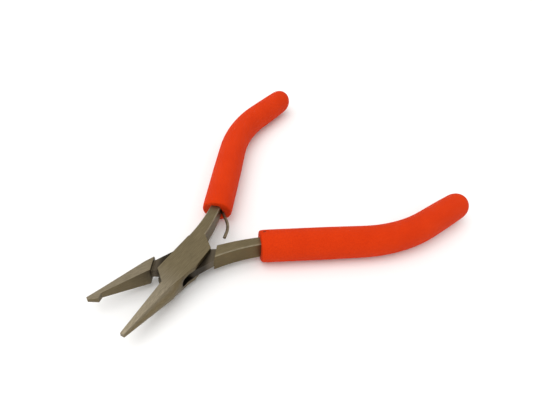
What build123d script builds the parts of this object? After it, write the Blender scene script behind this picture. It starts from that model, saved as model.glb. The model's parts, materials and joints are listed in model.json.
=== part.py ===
from build123d import *
from math import cos, radians, sin
import os

# Split-ring pliers with a box joint, lying flat and partly open.
#
# The origin is on the pivot axis, at the underside of the joint. +X runs midway between the two
# handles and +Z is up. Each lever is drawn in its own plan frame: local X from the pivot to its
# handle, local Y to the handle's outer side, so its jaw lies at negative X with the inner face on
# Y = 0. The through lever's frame is the box lever's turned over about X.

# ---- opening of the pliers: degrees between the two jaws' inner faces
REST_OPENING = 29.7
CLOSED_OPENING = 3.0

# ---- levers
LEVER_THICKNESS = 6.0
JAW_ROOT = 9.8               # pivot to where a jaw starts to taper
JAW_ROOT_BULGE = 4.1         # greatest depth of a jaw there, on the mid-plane
PLAIN_JAW_LENGTH = 25.1      # pivot to the plain tip
PLAIN_NECK_RIDGE = 3.45      # depth of the plain jaw's flat face, where it leaves the box
PLAIN_ROOT_RIDGE = 2.75      # and at its root
PLAIN_TIP = (1.2, 0.95, 1.35)    # thickness, depth of the flat face, depth on the mid-plane
HOOKED_JAW_LENGTH = 25.8
HOOKED_NECK_RIDGE = 3.8
HOOKED_ROOT_RIDGE = 3.2
HOOKED_TIP = (1.1, 0.62, 1.0)

# ---- hooked tooth
TOOTH_HEIGHT = 1.1
TOOTH_PEAK = 23.4            # pivot to the tooth's edge
TOOTH_HEEL = 22.2            # pivot to where the tooth starts

# ---- box joint
CHEEK_NORTH = 3.55           # depth of the box on the handle's outer side
CHEEK_SOUTH = 4.35           # and on its inner side, where it starts to turn into the jaw
CHEEK_CORNER = 4.0           # and far along the handle
CHEEK_CROWN = 0.06           # roundness of that side
BOX_START = 1.0              # pivot to where the box starts to turn into the jaw
BOX_WAIST = 3.3              # pivot to where the plain jaw's side comes nearest
BOX_WAIST_DEPTH = 3.7
BOX_WAIST_BULGE = 3.85
BOX_NECK = 6.0               # pivot to where the jaws' flat faces have narrowed
PLAIN_NECK_BULGE = 3.85
HOOKED_NECK_BULGE = 4.45
JAW_SHOULDER = 7.5           # pivot to the cheeks' slanted edge beside the jaws
HANDLE_SHOULDER = 7.9        # and beside the handles
SHOULDER_SLANT = 38.0        # slant of those edges from square
SHOULDER_GAP = 0.3           # left at each shoulder when the jaws are closed
WEB_THICKNESS = 2.8
WEB_CLEARANCE = 0.05         # on each face of the web
WEB_NECK = 3.45              # depth of the web where it leaves the box
WEB_WAIST = 4.4              # depth of the web beside the pivot
WEB_WAIST_X = 0.6
WEB_WAIST_ROUND = 2.0
WEB_JAW_EDGE = (1.0, 0.6)    # web's inner edge: past the jaw's shoulder, inside its inner face
WEB_HANDLE_EDGE = 1.6        # and past the handle's shoulder, on its inner face
WEB_HANDLE_RISE = 0.6        # how far that edge follows the handle's inner side
WEB_ROOT = 3.0               # web's reach into jaw and handle, past their shoulders
SLOT_JAW_END = 5.4           # pivot to the slot's ends, along the box's long sides
SLOT_HANDLE_END = 6.9
SLOT_JAW_ROUND = 1.1
SLOT_HANDLE_ROUND = 0.5
RIVET_DIAMETER = 4.0
RIVET_CLEARANCE = 0.05       # radial, in the web only

# ---- handles and tangs
BAR_START = 7.0              # pivot to where the bar's back starts to bend
BAR_BEND = 58.0              # radius of the bar's back
BAR_CHAMFER = 0.3
TANG_WIDTH = 2.8

# ---- grips
GRIP_MOUTH = (22.3, 3.8)
GRIP_ANGLE = 22.7            # direction of the grip's first run
GRIP_RUN = 32.0
GRIP_BEND = 52.0             # radius of the bend on the grip's middle line
GRIP_TURN = 28.2
GRIP_END_RUN = 21.3
GRIP_WIDTH = 9.3             # in the plane of the tool
GRIP_HEIGHT = 10.2
GRIP_DOME = 3.6
GRIP_RIM = 0.7
GRIP_CLEARANCE = 0.05        # between the tang and its bore
TANG_SHORT = 9.0             # tang's end to grip's end
POCKET_DEPTH = 6.0           # hollow in the grip's mouth, beside the bar's inner face
POCKET_WIDTH = 3.8
POCKET_HEIGHT = 5.2
POCKET_WALL = 1.15

# ---- return spring
WIRE_DIAMETER = 0.95
SPRING_SEAT = 7.1            # from the tang's straight run back to the spring's hole
SPRING_HOLE_DIAMETER = 2.2
SPRING_HOLE_DEPTH = 1.8
SPRING_HOOK = 0.9            # length of the hooked end inside the hole
SPRING_HOOK_ROUND = 1.2
SPRING_BELLY = (18.9, -2.75)
SPRING_BELLY_ROUND = 8.0
SPRING_TIP = (14.25, -4.04)

HALF = LEVER_THICKNESS / 2
BEYOND = 12.0                # reach of a cut that runs out past the metal


def lever_plane(turn, up):
    """Mid-plane of a lever that is turned about the pivot."""
    direction = (cos(radians(turn)), sin(radians(turn)), 0)
    return Plane(origin=(0, 0, HALF), x_dir=direction, z_dir=(0, 0, up))


def unit(angle):
    """Direction in a plan frame, at an angle from its X."""
    return Vector(cos(radians(angle)), sin(radians(angle)))


def handle_shoulder(distance, slant, y):
    """Point at depth y on the slanted line that far from the pivot, on the handle side."""
    return Vector((distance - y * sin(radians(slant))) / cos(radians(slant)), y)


def jaw_shoulder(distance, slant, y):
    """The same on the jaw side."""
    return -handle_shoulder(distance, slant, -y)


BOX = lever_plane(REST_OPENING / 2, 1)
THROUGH = lever_plane(-REST_OPENING / 2, -1)
BOX_SLANT = -SHOULDER_SLANT
THROUGH_SLANT = SHOULDER_SLANT - CLOSED_OPENING
BOX_ROOT = handle_shoulder(HANDLE_SHOULDER, BOX_SLANT, 0)
THROUGH_ROOT = handle_shoulder(HANDLE_SHOULDER + SHOULDER_GAP, THROUGH_SLANT, 0)

BACK_NORMAL = unit(GRIP_ANGLE + 90)
BACK_START = Vector(BAR_START, CHEEK_NORTH)
BACK_END = BACK_START + Vector(0, BAR_BEND) - BACK_NORMAL * BAR_BEND
TANG_START = BACK_END - BACK_NORMAL * (TANG_WIDTH / 2)
TANG_RUN = GRIP_RUN - (TANG_START - Vector(*GRIP_MOUTH)).dot(unit(GRIP_ANGLE))


def jaw_section(lever, x, thickness, ridge, bulge):
    """D-shaped section across a jaw: flat inside, above and below, round outside."""
    top = thickness / 2
    place = lever.from_local_coords((x, 0, 0))
    with BuildSketch(Plane(place, x_dir=lever.y_dir, z_dir=lever.x_dir)) as section:
        with BuildLine():
            Polyline((-ridge, -top), (0, -top), (0, top), (-ridge, top))
            ThreePointArc((-ridge, top), (-bulge, 0), (-ridge, -top))
        make_face()
    return section.sketch.face()


def belly_arc(root):
    """Inner edge of a handle bar, from the tang to the bar's root."""
    with BuildLine() as belly:
        TangentArc(BACK_END - BACK_NORMAL * TANG_WIDTH, root, tangent=-unit(GRIP_ANGLE))
    return belly.line


def bar_outline(root):
    """Plan of a handle bar, from its root's inner corner to where the tang runs straight."""
    with BuildSketch() as bar:
        with BuildLine():
            back = JernArc(BACK_START, (1, 0), BAR_BEND, GRIP_ANGLE)
            add(belly_arc(root))
            Line(back @ 1, back @ 1 - BACK_NORMAL * TANG_WIDTH)
            Line(root, BACK_START)
        make_face()
    return bar.sketch


def tang_outline():
    """Plan of the tang, which follows the grip's bend."""
    with BuildSketch() as tang:
        with BuildLine() as middle:
            run = PolarLine(TANG_START, TANG_RUN, GRIP_ANGLE)
            bend = JernArc(run @ 1, run % 1, GRIP_BEND, -GRIP_TURN)
            PolarLine(bend @ 1, GRIP_END_RUN - TANG_SHORT, GRIP_ANGLE - GRIP_TURN)
        trace(line_width=TANG_WIDTH)
    return tang.sketch


def make_handle(lever, root):
    """Handle bar with its long edges broken, and its tang."""
    with BuildPart() as handle:
        with BuildSketch(lever):
            add(bar_outline(root))
        extrude(amount=HALF, both=True)
        chamfer(handle.edges().filter_by(GeomType.CIRCLE), BAR_CHAMFER)
        with BuildSketch(lever):
            add(tang_outline())
        extrude(amount=HALF, both=True)
    return handle.part


def make_grip(lever):
    """Closed sleeve over a tang, with a hollow in its mouth on the inner side."""
    with BuildPart() as grip:
        with BuildLine(lever) as middle:
            run = PolarLine(GRIP_MOUTH, GRIP_RUN, GRIP_ANGLE)
            bend = JernArc(run @ 1, run % 1, GRIP_BEND, -GRIP_TURN)
            PolarLine(bend @ 1, GRIP_END_RUN, GRIP_ANGLE - GRIP_TURN)
        mouth = Plane(middle.line @ 0, x_dir=lever.z_dir, z_dir=middle.line % 0)
        with BuildSketch(mouth):
            Ellipse(GRIP_HEIGHT / 2, GRIP_WIDTH / 2)
        sweep(path=middle.line)
        ends = grip.faces().filter_by(GeomType.PLANE)
        fillet(ends.sort_by_distance(mouth.origin)[-1].edges(), GRIP_DOME)
        rim = grip.faces().filter_by(GeomType.PLANE).sort_by_distance(mouth.origin)[0]
        fillet(rim.edges(), GRIP_RIM)
        with BuildSketch(lever):
            add(bar_outline(BOX_ROOT))
            add(tang_outline())
            offset(amount=GRIP_CLEARANCE)
        extrude(amount=HALF + GRIP_CLEARANCE, both=True, mode=Mode.SUBTRACT)
        with BuildSketch(mouth):
            with Locations((0, GRIP_WIDTH / 2 - POCKET_WALL - POCKET_WIDTH / 2)):
                Ellipse(POCKET_HEIGHT / 2, POCKET_WIDTH / 2)
        extrude(amount=POCKET_DEPTH, mode=Mode.SUBTRACT)
    return grip.part


# ---- where the return spring enters the box lever's tang
SEAT = belly_arc(BOX_ROOT).edge().position_at(SPRING_SEAT, position_mode=PositionMode.LENGTH)

# ---- slot through the box, with rounded ends
JAW_WALL = (Vector(-SLOT_JAW_END, -CHEEK_SOUTH), jaw_shoulder(JAW_SHOULDER, BOX_SLANT, 0))
HANDLE_WALL = (Vector(SLOT_HANDLE_END, CHEEK_NORTH), BOX_ROOT)


def run_out(wall):
    """A slot wall's line, run out past the metal at both ends."""
    past = (wall[1] - wall[0]).normalized() * BEYOND
    return (wall[0] - past, wall[1] + past)


with BuildPart() as slot:
    with BuildSketch(BOX):
        with BuildLine():
            Polyline(*run_out(JAW_WALL), *run_out(HANDLE_WALL), close=True)
        make_face()
    extrude(amount=WEB_THICKNESS / 2 + WEB_CLEARANCE, both=True)
    for wall, radius in ((JAW_WALL, SLOT_JAW_ROUND), (HANDLE_WALL, SLOT_HANDLE_ROUND)):
        along = BOX.from_local_coords(wall[1]) - BOX.from_local_coords(wall[0])
        fillet(slot.edges().filter_by(Axis((0, 0, 0), along)), radius)

# ---- box lever: cheeks, plain jaw, handle and tang in one forging
with BuildPart() as box_lever:
    sections = (
        jaw_section(BOX, BEYOND, LEVER_THICKNESS, CHEEK_CORNER, CHEEK_CORNER + CHEEK_CROWN),
        jaw_section(BOX, -BOX_START, LEVER_THICKNESS, CHEEK_SOUTH, CHEEK_SOUTH + CHEEK_CROWN),
        jaw_section(BOX, -BOX_WAIST, LEVER_THICKNESS, BOX_WAIST_DEPTH, BOX_WAIST_BULGE),
        jaw_section(BOX, -BOX_NECK, LEVER_THICKNESS, PLAIN_NECK_RIDGE, PLAIN_NECK_BULGE),
        jaw_section(BOX, -JAW_ROOT, LEVER_THICKNESS, PLAIN_ROOT_RIDGE, JAW_ROOT_BULGE),
        jaw_section(BOX, -PLAIN_JAW_LENGTH, *PLAIN_TIP),
    )
    loft(sections, ruled=True)
    with BuildSketch(BOX):
        with BuildLine():
            Polyline(
                BOX_ROOT,
                handle_shoulder(HANDLE_SHOULDER, BOX_SLANT, -BEYOND),
                (2 * BEYOND, -BEYOND),
                (2 * BEYOND, 0),
                close=True,
            )
        make_face()
    extrude(amount=LEVER_THICKNESS, both=True, mode=Mode.SUBTRACT)
    with BuildSketch(BOX):
        with BuildLine():
            Polyline(
                BOX_ROOT,
                BACK_START,
                jaw_shoulder(JAW_SHOULDER, BOX_SLANT, CHEEK_NORTH),
                jaw_shoulder(JAW_SHOULDER, BOX_SLANT, 0),
                close=True,
            )
        make_face()
    extrude(amount=HALF, both=True)
    add(make_handle(BOX, BOX_ROOT))
    add(slot.part, mode=Mode.SUBTRACT)
    with BuildSketch(BOX):
        Circle(RIVET_DIAMETER / 2)
    extrude(amount=HALF, both=True, mode=Mode.SUBTRACT)
    with BuildSketch(Plane(BOX.from_local_coords(SEAT), x_dir=BOX.x_dir, z_dir=BOX.y_dir)):
        Circle(SPRING_HOLE_DIAMETER / 2)
    extrude(amount=SPRING_HOLE_DEPTH, both=True, mode=Mode.SUBTRACT)

# ---- through lever: handle and tang, web, and jaw with the hooked tooth
with BuildPart() as through_lever:
    with BuildSketch(THROUGH):
        with BuildLine():
            Polyline(
                (-TOOTH_HEEL, 0),
                (-TOOTH_PEAK, TOOTH_HEIGHT),
                (-HOOKED_JAW_LENGTH, 0),
                (-HOOKED_JAW_LENGTH, -HOOKED_TIP[1] / 2),
                (-TOOTH_HEEL, -HOOKED_TIP[1] / 2),
                close=True,
            )
        make_face()
    extrude(amount=HALF, both=True)
    side_view = Plane(THROUGH.origin, x_dir=THROUGH.x_dir, z_dir=THROUGH.y_dir)
    with BuildSketch(side_view):
        with BuildLine():
            Polyline(
                (-JAW_ROOT, HALF),
                (-HOOKED_JAW_LENGTH, HOOKED_TIP[0] / 2),
                (-HOOKED_JAW_LENGTH, -HOOKED_TIP[0] / 2),
                (-JAW_ROOT, -HALF),
                close=True,
            )
        make_face()
    extrude(amount=BEYOND, both=True, mode=Mode.INTERSECT)
    sections = (
        jaw_section(THROUGH, -BOX_START, LEVER_THICKNESS, CHEEK_SOUTH, CHEEK_SOUTH + CHEEK_CROWN),
        jaw_section(THROUGH, -BOX_NECK, LEVER_THICKNESS, HOOKED_NECK_RIDGE, HOOKED_NECK_BULGE),
        jaw_section(THROUGH, -JAW_ROOT, LEVER_THICKNESS, HOOKED_ROOT_RIDGE, JAW_ROOT_BULGE),
        jaw_section(THROUGH, -HOOKED_JAW_LENGTH, *HOOKED_TIP),
    )
    loft(sections, ruled=True)
    add(make_handle(THROUGH, THROUGH_ROOT))
    with BuildSketch(THROUGH):
        with BuildLine():
            Polyline(
                jaw_shoulder(JAW_SHOULDER + SHOULDER_GAP, THROUGH_SLANT, -BEYOND),
                jaw_shoulder(JAW_SHOULDER + SHOULDER_GAP, THROUGH_SLANT, BEYOND),
                handle_shoulder(HANDLE_SHOULDER + SHOULDER_GAP, THROUGH_SLANT, BEYOND),
                handle_shoulder(HANDLE_SHOULDER + SHOULDER_GAP, THROUGH_SLANT, -BEYOND),
                close=True,
            )
        make_face()
    extrude(amount=LEVER_THICKNESS, both=True, mode=Mode.SUBTRACT)
    with BuildSketch(THROUGH) as web:
        with BuildLine():
            Polyline(
                (HANDLE_SHOULDER + WEB_ROOT, WEB_NECK),
                (HANDLE_SHOULDER, WEB_NECK),
                (WEB_WAIST_X, WEB_WAIST),
                (-JAW_SHOULDER - WEB_JAW_EDGE[0], -WEB_JAW_EDGE[1]),
                (-JAW_SHOULDER - WEB_ROOT, -WEB_JAW_EDGE[1]),
                (-JAW_SHOULDER - WEB_ROOT, -PLAIN_ROOT_RIDGE),
                (-JAW_SHOULDER, -WEB_NECK),
                (-WEB_WAIST_X, -WEB_WAIST),
                (HANDLE_SHOULDER + WEB_HANDLE_EDGE, 0),
                (HANDLE_SHOULDER + WEB_ROOT, WEB_HANDLE_RISE),
                close=True,
            )
        make_face()
        waist = web.vertices().sort_by_distance(THROUGH.origin)[0:2]
        fillet(waist, WEB_WAIST_ROUND)
    extrude(amount=WEB_THICKNESS / 2, both=True)
    with BuildSketch(THROUGH):
        Circle(RIVET_DIAMETER / 2 + RIVET_CLEARANCE)
    extrude(amount=HALF, both=True, mode=Mode.SUBTRACT)

# ---- rivet, pressed into both cheeks and ground flush with them
with BuildPart() as pivot_rivet:
    with BuildSketch(BOX):
        Circle(RIVET_DIAMETER / 2)
    extrude(amount=HALF, both=True)

# ---- return spring, hooked into the box lever's tang
with BuildPart() as return_spring:
    with BuildLine(BOX) as wire:
        FilletPolyline(
            (SEAT.X, SEAT.Y + SPRING_HOOK),
            (SEAT.X, SEAT.Y),
            SPRING_BELLY,
            SPRING_TIP,
            radius=(SPRING_HOOK_ROUND, SPRING_BELLY_ROUND),
        )
    with BuildSketch(Plane(wire.line @ 0, z_dir=wire.line % 0)):
        Circle(WIRE_DIAMETER / 2)
    sweep(path=wire.line)

# ---- grips, pushed over the tangs
with BuildPart() as upper_grip:
    add(make_grip(BOX))

with BuildPart() as lower_grip:
    add(make_grip(THROUGH))

box_lever.part.label = "box_lever"
through_lever.part.label = "through_lever"
pivot_rivet.part.label = "pivot_rivet"
return_spring.part.label = "return_spring"
upper_grip.part.label = "upper_grip"
lower_grip.part.label = "lower_grip"

os.makedirs("parts", exist_ok=True)
export_step(box_lever.part, "parts/box_lever.step")
export_step(through_lever.part, "parts/through_lever.step")
export_step(pivot_rivet.part, "parts/pivot_rivet.step")
export_step(return_spring.part, "parts/return_spring.step")
export_step(upper_grip.part, "parts/upper_grip.step")
export_step(lower_grip.part, "parts/lower_grip.step")
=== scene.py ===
import json
from math import cos, pi, radians, sin, tan

import bpy
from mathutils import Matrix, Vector

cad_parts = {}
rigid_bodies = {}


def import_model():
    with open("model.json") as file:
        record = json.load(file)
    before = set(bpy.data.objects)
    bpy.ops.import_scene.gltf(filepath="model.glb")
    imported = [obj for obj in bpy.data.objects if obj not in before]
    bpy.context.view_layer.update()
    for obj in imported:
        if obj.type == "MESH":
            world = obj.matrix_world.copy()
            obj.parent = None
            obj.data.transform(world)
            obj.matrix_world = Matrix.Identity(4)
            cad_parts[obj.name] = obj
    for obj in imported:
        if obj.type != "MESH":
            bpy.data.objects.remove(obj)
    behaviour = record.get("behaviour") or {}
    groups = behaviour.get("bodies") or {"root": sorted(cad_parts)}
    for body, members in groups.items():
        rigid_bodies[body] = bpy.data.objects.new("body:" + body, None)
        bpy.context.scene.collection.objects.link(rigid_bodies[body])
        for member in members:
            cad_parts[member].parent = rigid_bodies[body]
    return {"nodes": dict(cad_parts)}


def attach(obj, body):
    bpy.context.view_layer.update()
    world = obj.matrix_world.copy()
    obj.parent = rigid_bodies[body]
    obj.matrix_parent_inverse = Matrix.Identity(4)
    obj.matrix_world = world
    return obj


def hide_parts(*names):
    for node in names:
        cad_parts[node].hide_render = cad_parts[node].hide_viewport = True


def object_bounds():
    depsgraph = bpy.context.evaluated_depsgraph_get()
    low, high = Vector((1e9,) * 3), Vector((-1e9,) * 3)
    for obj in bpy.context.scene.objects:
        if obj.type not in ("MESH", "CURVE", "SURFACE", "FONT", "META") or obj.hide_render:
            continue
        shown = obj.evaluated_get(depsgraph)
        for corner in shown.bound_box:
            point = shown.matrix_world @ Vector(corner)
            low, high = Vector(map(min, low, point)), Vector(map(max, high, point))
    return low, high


# Split-ring pliers with dipped orange grips. Everything is in metres. The pivot axis is at the
# origin, +X runs midway between the two handles and +Z is up. The tool's mid-plane is at MIDDLE.

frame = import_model()
cad_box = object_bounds()

MM = 0.001
MIDDLE = 0.003
HALF_OPENING = radians(14.85)

# ---- grips: the same run, bend and run as the tangs inside them, from mouth to closed end
GRIP_MOUTH = (22.3 * MM, 3.8 * MM)
GRIP_ANGLE = radians(22.7)
GRIP_RUN = 32 * MM
GRIP_BEND = 52 * MM
GRIP_TURN = radians(28.2)
GRIP_END_RUN = 21.3 * MM
GRIP_DEPTH = 1.085           # depth of a grip for its width
GRIP_SIDES = 56
UPPER_LEAN = radians(15)     # how far the top of a mouth leans out over the bar
LOWER_LEAN = radians(5)
LEAN_RINGS = range(3, 7)     # rings that take the lean out again
POCKET = (2.3 * MM, 1.75 * MM, 6 * MM)    # half height, half width and depth

# ---- a straight grip's rings in millimetres: place from the mouth, and half width
MOUTH_ROLL = ((0.0, 3.9), (0.04, 4.16), (0.16, 4.36), (0.42, 4.5))
SLEEVE = ((0.9, 4.58), (3.0, 4.64), (7.0, 4.67), (20.0, 4.76), (32.0, 4.71))
SLEEVE += ((40.0, 4.66), (50.0, 4.64), (60.0, 4.64), (68.0, 4.6), (73.3, 4.5))
RING_SPACING = 2
DOME_REACH = 4.7
DOME_RINGS = 9
DOME_FULLNESS = 0.6          # a lower value makes a blunter end

# ---- pieces copied from the metal parts, and how far their edges are eased
STEEL_PIECES = {
    "box_lever": "box_lever_ground",
    "through_lever": "through_lever_ground",
    "pivot_rivet": "rivet_flush",
}
LEVER_EASING = 0.10 * MM
RIVET_EASING = 0.03 * MM
WIRE_EASING = 0.12 * MM

# ---- where the finishes and the painted shade of the joint change, in millimetres
WEB_FACE = (1.5, 1.62)       # from the mid-plane, just past the web's face
JOINT_BLUR = 0.15
BOX_JOINT = (0.0, -5.4, 6.9)              # slant, and reach to the jaw and to the handle
THROUGH_JOINT = (-radians(35), -7.6, 8.0)
NO_NICK = (0, 0, 900)        # far from the tool
LOWER_NICK = (-22.3, 8.8, -7.4)           # the move that brings the nick to the origin

# ---- colours
HANDLE_STEEL = ((0.195, 0.156, 0.087, 1), (0.225, 0.181, 0.103, 1))
BOX_STEEL = (0.212, 0.172, 0.1, 1)
# painted sheen: the jaws' steel is lighter, standing in for the light's reflection toward the tips
PLAIN_JAW_SHEEN_STEEL = (0.285, 0.243, 0.172, 1)
HOOKED_JAW_SHEEN_STEEL = (0.245, 0.207, 0.143, 1)
# painted shade: multiplies the sides of the steel darker and browner
SIDE_PAINTED_SHADE = (0.66, 0.61, 0.48, 1)
# painted highlight on the chamfered edges of the handles
CHAMFER_HIGHLIGHT = (0.46, 0.4, 0.29, 1)
GRAIN_STEEL = (0.09, 0.072, 0.044, 1)
# painted shade inside the box lever's slot
SLOT_PAINTED_SHADE = (0.07, 0.058, 0.038, 1)
# painted shade on the through lever's web, which also has a duller steel
WEB_SHADE_AND_DULL_STEEL = (0.125, 0.102, 0.072, 1)
# painted shade, deepest in the joint near the pivot
DEEP_PAINTED_SHADE = (0.035, 0.028, 0.019, 1)
WIRE_STEEL = ((0.16, 0.125, 0.08, 1), (0.27, 0.22, 0.15, 1))
ORANGE = ((0.64, 0.036, 0.001, 1), (0.68, 0.041, 0.0015, 1))
ORANGE_SHADE = (0.48, 0.02, 0.001, 1)
NICK_COLOUR = (0.09, 0.022, 0.012, 1)


# ================================================================ handling pieces


def deselect():
    """Leaves nothing selected."""
    for item in bpy.context.scene.objects:
        item.select_set(False)


def work_on(piece):
    """Makes one piece the selected and active one."""
    deselect()
    piece.select_set(True)
    bpy.context.view_layer.objects.active = piece


def apply_modifier(piece, name, kind, **settings):
    """Adds a modifier with its settings and applies it."""
    work_on(piece)
    modifier = piece.modifiers.new(name, kind)
    for key, value in settings.items():
        setattr(modifier, key, value)
    bpy.ops.object.modifier_apply(modifier=name)


def finish_piece(piece, finish, slot, body, *nodes):
    """Gives a piece its finish and its body, in place of the plain parts."""
    piece.data.materials.clear()
    piece.data.materials.append(finish)
    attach(piece, body)
    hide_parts(*nodes)


def ease_edges(name, node, width):
    """Copy of a metal part, with its loose triangles merged and its sharp edges eased."""
    piece = bpy.data.objects.new(name, frame["nodes"][node].data.copy())
    bpy.context.scene.collection.objects.link(piece)
    work_on(piece)
    bpy.ops.object.mode_set(mode="EDIT")
    bpy.ops.mesh.select_all(action="SELECT")
    bpy.ops.mesh.remove_doubles(threshold=1e-6)
    bpy.ops.mesh.dissolve_limited(angle_limit=radians(0.5))
    bpy.ops.object.mode_set(mode="OBJECT")
    apply_modifier(
        piece,
        "eased edges",
        "BEVEL",
        width=width,
        segments=2,
        limit_method="ANGLE",
        angle_limit=radians(24),
        use_clamp_overlap=True,
        miter_outer="MITER_ARC",
    )
    bpy.ops.object.shade_smooth_by_angle(angle=radians(40))
    apply_modifier(piece, "flat faces", "WEIGHTED_NORMAL", keep_sharp=True, weight=90)
    return piece


# ================================================================ finishes


class Socket:
    """One socket of a finish's nodes, so that sums on it are written as they are said."""

    def __init__(self, tree, link=None):
        self.tree = tree
        self.link = link

    def node(self, kind, settings, sockets, output=0):
        """Adds a node of any kind: its settings first, then its sockets' values and links."""
        made = self.tree.nodes.new(kind)
        for key, value in settings.items():
            setattr(made, key, value)
        for key, value in sockets.items():
            if isinstance(value, Socket):
                self.tree.links.new(value.link, made.inputs[key])
            else:
                made.inputs[key].default_value = value
        return Socket(self.tree, made.outputs[output])

    def maths(self, operation, first, second):
        return self.node("ShaderNodeMath", {"operation": operation}, {0: first, 1: second})

    def __add__(self, other):
        return self.maths("ADD", self, other)

    __radd__ = __add__

    def __sub__(self, other):
        return self.maths("SUBTRACT", self, other)

    def __rsub__(self, other):
        return self.maths("SUBTRACT", other, self)

    def __mul__(self, other):
        return self.maths("MULTIPLY", self, other)

    __rmul__ = __mul__

    def __abs__(self):
        return self.maths("ABSOLUTE", self, 0)


def new_finish(name):
    """Material with a Principled shader, and a Socket to start its sums from."""
    material = bpy.data.materials.new(name)
    material.use_nodes = True
    return material, Socket(material.node_tree)


def feed(material, sockets):
    """Sets or links the Principled shader's sockets."""
    shader = material.node_tree.nodes["Principled BSDF"]
    for key, value in sockets.items():
        if isinstance(value, Socket):
            material.node_tree.links.new(value.link, shader.inputs[key])
        else:
            shader.inputs[key].default_value = value


def millimetres(start, location=(0, 0, 0), turn=0.0):
    """Place on the piece in millimetres, moved and turned in the tool's plane."""
    place = start.node("ShaderNodeTexCoord", {}, {}, "Object")
    return start.node(
        "ShaderNodeMapping",
        {},
        {"Vector": place, "Location": location, "Rotation": (0, 0, turn), "Scale": (1000, 1000, 1000)},
    )


def stretched(place, scale):
    """The place with each direction scaled, for a pattern that is drawn out."""
    return place.node("ShaderNodeMapping", {}, {"Vector": place, "Scale": scale})


def noise(place, scale, detail=2.0, roughness=0.5):
    return place.node(
        "ShaderNodeTexNoise",
        {},
        {"Vector": place, "Scale": scale, "Detail": detail, "Roughness": roughness},
        "Fac",
    )


def ramp(value, low, high, to_low=0.0, to_high=1.0):
    """A value's span low to high, eased and held at its ends."""
    return value.node(
        "ShaderNodeMapRange",
        {"interpolation_type": "SMOOTHSTEP"},
        {
            "Value": value,
            "From Min": low,
            "From Max": high,
            "To Min": to_low,
            "To Max": to_high,
        },
        "Result",
    )


def blend_colour(amount, first, second, mode="MIX"):
    """Colour between first and second."""
    return amount.node(
        "ShaderNodeMix",
        {"data_type": "RGBA", "blend_type": mode},
        {0: amount, 6: first, 7: second},
        2,
    )


def bump(height, strength, distance):
    return height.node(
        "ShaderNodeBump",
        {},
        {"Height": height, "Strength": strength, "Distance": distance},
        "Normal",
    )


def part_of(vector, axis):
    """X, Y or Z of a vector."""
    return vector.node("ShaderNodeSeparateXYZ", {}, {"Vector": vector}, axis)


def ground_steel(name, turn, joint_shade_and_finish, joint, jaw_sheen_tone):
    """Satin steel ground along the lever: lighter on the jaw as painted sheen, darker and browner on
    its sides as painted shade, with painted shade inside the joint and a painted highlight on the
    chamfers. Joint is the slant of the shaded part's ends, and its reach to jaw and to handle."""
    material, start = new_finish(name)
    place = millimetres(start, location=(0, 0, -MIDDLE / MM), turn=-turn)
    along = part_of(place, "X")
    across = part_of(place, "Y")
    height = part_of(place, "Z")
    level = abs(part_of(start.node("ShaderNodeTexCoord", {}, {}, "Normal"), "Z"))
    grain = noise(stretched(place, (0.30, 5.0, 5.0)), 1.0, 3.0, 0.6)
    fine = noise(stretched(place, (0.9, 16.0, 16.0)), 1.0, 2.0, 0.6)
    cloud = noise(place, 0.22, 3.0, 0.55)

    # from handle to jaw with painted sheen toward the jaw, then painted shade on the sides and a
    # painted highlight on the broken edges of the bar
    handle = blend_colour(ramp(cloud, 0.3, 0.7), *HANDLE_STEEL)
    box = blend_colour(ramp(along, 12.0, -2.0), handle, BOX_STEEL)
    # painted sheen: the steel turns lighter toward the jaw
    ground = blend_colour(ramp(along, -3.0, -12.0), box, jaw_sheen_tone)
    # painted shade: the sides are darker and browner by the tilt of their faces
    side = blend_colour(ramp(level, 0.85, 0.35), ground, SIDE_PAINTED_SHADE, "MULTIPLY")
    # painted highlight on the sloped chamfer faces of the handle
    slope = ramp(level, 0.5, 0.64) * ramp(level, 0.9, 0.78) * ramp(along, 4.0, 9.0)
    chamfer_highlighted = blend_colour(0.55 * slope, side, CHAMFER_HIGHLIGHT)
    grained = blend_colour(ramp(grain, 0.3, 0.7, 0.0, 0.42), chamfer_highlighted, GRAIN_STEEL)

    # the joint: painted shade inside the slot and on the web, deepest near the pivot, and on the
    # shoulder faces at the jaw end; the web's steel is also duller
    slant, to_jaw, to_handle = joint
    reach = along * cos(slant) + across * sin(slant)
    past_jaw = ramp(reach, to_jaw - JOINT_BLUR, to_jaw + JOINT_BLUR)
    past_handle = ramp(reach, to_handle + JOINT_BLUR, to_handle - JOINT_BLUR)
    inside = past_jaw * past_handle * ramp(abs(height), WEB_FACE[1], WEB_FACE[0])
    deep_shade = blend_colour(ramp(abs(reach), 7.4, 5.4), joint_shade_and_finish, DEEP_PAINTED_SHADE)
    # painted shade on the shoulder faces at the jaw end of the joint
    corner = ramp(reach, to_jaw - 1.5, to_jaw) * ramp(reach, to_jaw + 1.2, to_jaw)
    shaded = blend_colour(0.5 * corner * ramp(level, 0.6, 0.2), grained, joint_shade_and_finish)
    feed(
        material,
        {
            "Base Color": blend_colour(inside, shaded, deep_shade),
            "Metallic": 1.0,
            "Roughness": 0.34 + 0.16 * grain + 0.08 * cloud,
            "Normal": bump(grain * 0.6 + fine * 0.4, 0.35, 0.00005),
        },
    )
    return material


def drawn_wire(name):
    """Spring wire, drawn and heat-darkened."""
    material, start = new_finish(name)
    place = millimetres(start)
    cloud = noise(place, 0.8, 3.0, 0.6)
    fine = noise(place, 6.0, 2.0, 0.5)
    feed(
        material,
        {
            "Base Color": blend_colour(ramp(cloud, 0.3, 0.7), *WIRE_STEEL),
            "Metallic": 1.0,
            "Roughness": 0.34 + 0.15 * cloud,
            "Normal": bump(fine, 0.2, 0.00004),
        },
    )
    return material


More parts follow.
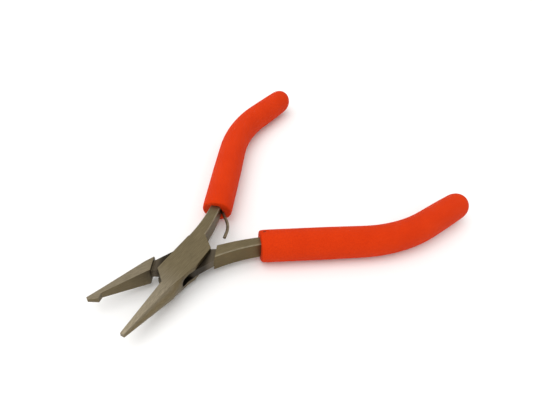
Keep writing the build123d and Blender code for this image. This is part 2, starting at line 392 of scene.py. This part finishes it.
def dipped_orange(name, nick):
    """Matte orange dip with a fine skin. Nick is the move to a small dark cut near the mouth."""
    material, start = new_finish(name)
    place = millimetres(start)
    cloud = noise(place, 0.12, 2.0, 0.5)
    skin = noise(place, 2.6, 4.0, 0.65)
    pores = noise(place, 7.5, 2.0, 0.6)
    clear = blend_colour(ramp(cloud, 0.3, 0.7), *ORANGE)
    mottled = blend_colour(ramp(skin, 0.35, 0.7, 0.0, 0.4), clear, ORANGE_SHADE)
    near = millimetres(start, location=nick)
    cut = near.node(
        "ShaderNodeMapping", {}, {"Vector": near, "Rotation": (0, 0, 0.6), "Scale": (1, 2.4, 0.8)}
    )
    distance = cut.node("ShaderNodeVectorMath", {"operation": "LENGTH"}, {0: cut}, "Value")
    ragged = distance + 0.5 * noise(place, 3.5, 2.0)
    depth = ramp(ragged, 1.05, 0.65)
    feed(
        material,
        {
            "Base Color": blend_colour(0.78 * depth, mottled, NICK_COLOUR),
            "Roughness": 0.66 + 0.16 * skin,
            "Normal": bump(skin * 0.6 + pores * 0.4 - 0.8 * depth, 0.8, 0.00035),
            "Specular IOR Level": 0.09,
        },
    )
    return material


# ================================================================ pieces


def ring_plan():
    """Rings of a straight grip, from mouth to closed end: place along it and half width."""
    rings = list(MOUTH_ROLL)
    for (start, first), (end, second) in zip(SLEEVE, SLEEVE[1:]):
        steps = round((end - start) / RING_SPACING)
        for step in range(steps):
            share = step / steps
            rings.append((start + share * (end - start), first + share * (second - first)))
    dome_start, dome_width = SLEEVE[-1]
    for step in range(DOME_RINGS):
        angle = step / DOME_RINGS * pi / 2
        width = dome_width * cos(angle) ** DOME_FULLNESS
        rings.append((dome_start + DOME_REACH * sin(angle), width))
    return rings


def straight_grip(name, lean):
    """Round, slightly deeper than wide, with its mouth leaning out at the top and a domed end."""
    rings = ring_plan()
    here, width = rings[0]
    deselect()
    bpy.ops.mesh.primitive_circle_add(
        vertices=GRIP_SIDES, radius=width * MM, fill_type="NGON", rotation=(0, -pi / 2 - lean, 0)
    )
    grip = bpy.context.object
    grip.name = name
    bpy.ops.object.transform_apply(location=True, rotation=True, scale=True)
    bpy.ops.object.mode_set(mode="EDIT")
    bpy.ops.mesh.select_all(action="SELECT")
    bpy.ops.transform.resize(value=(1, 1, GRIP_DEPTH), center_override=(0, 0, 0))
    for number, (place, half) in enumerate(rings[1:]):
        bpy.ops.mesh.extrude_region_move(
            TRANSFORM_OT_translate={"value": ((place - here) * MM, 0, 0)}
        )
        centre = (place * MM, 0, 0)
        if number in LEAN_RINGS:
            turn = -lean / len(LEAN_RINGS)
            bpy.ops.transform.rotate(value=turn, orient_axis="Y", center_override=centre)
        grow = half / width
        bpy.ops.transform.resize(value=(1, grow, grow), center_override=centre)
        here, width = place, half
    bpy.ops.mesh.poke()
    bpy.ops.mesh.select_all(action="SELECT")
    bpy.ops.mesh.normals_make_consistent(inside=False)
    bpy.ops.object.mode_set(mode="OBJECT")
    return grip


def cut_pocket(grip):
    """Hollow in the middle of the mouth, which the bar partly fills."""
    deselect()
    bpy.ops.mesh.primitive_cylinder_add(
        vertices=40, radius=1, depth=2, rotation=(0, pi / 2, 0), scale=POCKET
    )
    cutter = bpy.context.object
    bpy.ops.object.transform_apply(location=True, rotation=True, scale=True)
    apply_modifier(grip, "pocket", "BOOLEAN", object=cutter, operation="DIFFERENCE", solver="EXACT")
    bpy.data.objects.remove(cutter)


def grip_path(side):
    """Line that a grip follows in the part's frame. Side is 1 for the upper, -1 for the lower."""
    turn = side * HALF_OPENING

    def placed(x, y):
        y = side * y
        return Vector((x * cos(turn) - y * sin(turn), x * sin(turn) + y * cos(turn), MIDDLE))

    run = Vector((cos(GRIP_ANGLE), sin(GRIP_ANGLE)))
    end_angle = GRIP_ANGLE - GRIP_TURN
    end_run = Vector((cos(end_angle), sin(end_angle)))
    mouth = Vector(GRIP_MOUTH)
    bend_start = mouth + run * GRIP_RUN
    centre = bend_start + Vector((run.y, -run.x)) * GRIP_BEND
    bend_end = centre + Vector((-end_run.y, end_run.x)) * GRIP_BEND
    end = bend_end + end_run * GRIP_END_RUN
    reach = GRIP_BEND * 4 / 3 * tan(GRIP_TURN / 4)
    knots = (
        (mouth - run * GRIP_RUN / 3, mouth, mouth + run * GRIP_RUN / 3),
        (bend_start - run * GRIP_RUN / 3, bend_start, bend_start + run * reach),
        (bend_end - end_run * reach, bend_end, bend_end + end_run * GRIP_END_RUN / 3),
        (end - end_run * GRIP_END_RUN / 3, end, end + end_run * GRIP_END_RUN / 3),
    )
    curve = bpy.data.curves.new("grip path", "CURVE")
    curve.dimensions = "3D"
    curve.twist_mode = "Z_UP"
    curve.resolution_u = 48
    spline = curve.splines.new("BEZIER")
    spline.bezier_points.add(len(knots) - 1)
    for knot, (before, point, after) in zip(spline.bezier_points, knots):
        knot.handle_left = placed(*before)
        knot.co = placed(*point)
        knot.handle_right = placed(*after)
    path = bpy.data.objects.new("grip path", curve)
    bpy.context.scene.collection.objects.link(path)
    return path


def make_grip(name, side, lean, finish, body, node):
    """A whole grip, bent along its tang."""
    grip = straight_grip(name, lean)
    cut_pocket(grip)
    path = grip_path(side)
    apply_modifier(grip, "bend", "CURVE", object=path, deform_axis="POS_X")
    bpy.data.objects.remove(path)
    work_on(grip)
    bpy.ops.object.shade_smooth_by_angle(angle=radians(42))
    finish_piece(grip, finish, "grip", body, node)
    return grip


def make_grips():
    """Both grips. Only the lower one has a nick."""
    plain = dipped_orange("orange grip, upper", NO_NICK)
    nicked = dipped_orange("orange grip, lower", LOWER_NICK)
    make_grip("upper_grip_dipped", 1, UPPER_LEAN, plain, "box_side", "upper_grip")
    make_grip("lower_grip_dipped", -1, LOWER_LEAN, nicked, "through_side", "lower_grip")


def make_steel(node, turn, tone, joint, jaw_sheen_tone, easing, body):
    """One ground steel part, with its edges eased."""
    piece = ease_edges(STEEL_PIECES[node], node, easing)
    steel = ground_steel(node.replace("_", " ") + " steel", turn, tone, joint, jaw_sheen_tone)
    finish_piece(piece, steel, "steel", body, node)


def make_levers():
    """Both levers with eased edges, and the rivet flush with them."""
    up, down = HALF_OPENING, -HALF_OPENING
    box = (SLOT_PAINTED_SHADE, BOX_JOINT, PLAIN_JAW_SHEEN_STEEL)
    through = (WEB_SHADE_AND_DULL_STEEL, THROUGH_JOINT, HOOKED_JAW_SHEEN_STEEL)
    make_steel("box_lever", up, *box, LEVER_EASING, "box_side")
    make_steel("through_lever", down, *through, LEVER_EASING, "through_side")
    make_steel("pivot_rivet", up, *box, RIVET_EASING, "box_side")


def make_spring():
    """Return wire with its cut end eased."""
    wire = ease_edges("return_wire", "return_spring", WIRE_EASING)
    finish_piece(wire, drawn_wire("drawn wire"), "spring_wire", "spring", "return_spring")


# ================================================================ studio


def make_floor():
    """Plain pale floor that the grips rest on."""
    deselect()
    bpy.ops.mesh.primitive_plane_add(size=8, location=(0, 0, cad_box[0][2] - 0.0001))
    floor = bpy.context.object
    floor.name = "floor"
    material, start = new_finish("pale floor")
    feed(material, {"Base Color": (0.93, 0.93, 0.93, 1), "Roughness": 0.9, "Specular IOR Level": 0.1})
    floor.data.materials.append(material)


def soft_light(name, place, aim, size, power, colour=(1, 1, 1)):
    """Square soft light that faces a point."""
    light = bpy.data.lights.new(name, "AREA")
    light.shape = "SQUARE"
    light.size = size
    light.energy = power
    light.color = colour
    lamp = bpy.data.objects.new(name, light)
    lamp.location = place
    lamp.rotation_euler = (Vector(aim) - Vector(place)).to_track_quat("-Z", "Y").to_euler()
    bpy.context.scene.collection.objects.link(lamp)


def make_studio():
    """Even pale surroundings, with a soft key light high on the left."""
    world = bpy.data.worlds.new("pale surroundings")
    world.use_nodes = True
    world.node_tree.nodes["Background"].inputs["Color"].default_value = (1, 0.99, 0.97, 1)
    world.node_tree.nodes["Background"].inputs["Strength"].default_value = 0.85
    bpy.context.scene.world = world
    soft_light("key", (-0.5, 0.1, 1.1), (0.03, 0, 0), 1.2, 9.0)
    bpy.context.scene.view_settings.view_transform = "Standard"


def make_camera():
    """Looks down across the jaws, from in front and to the left."""
    camera = bpy.data.cameras.new("camera")
    camera.sensor_width = 36
    camera.lens = 29.576
    camera.clip_start = 0.005
    stand = bpy.data.objects.new("camera", camera)
    stand.location = (-0.047729, -0.059567, 0.100362)
    stand.rotation_euler = (radians(46.7125), radians(-7.0618), radians(-46.8220))
    bpy.context.scene.collection.objects.link(stand)
    bpy.context.scene.camera = stand


make_camera()
make_studio()
make_floor()
make_levers()
make_spring()
make_grips()
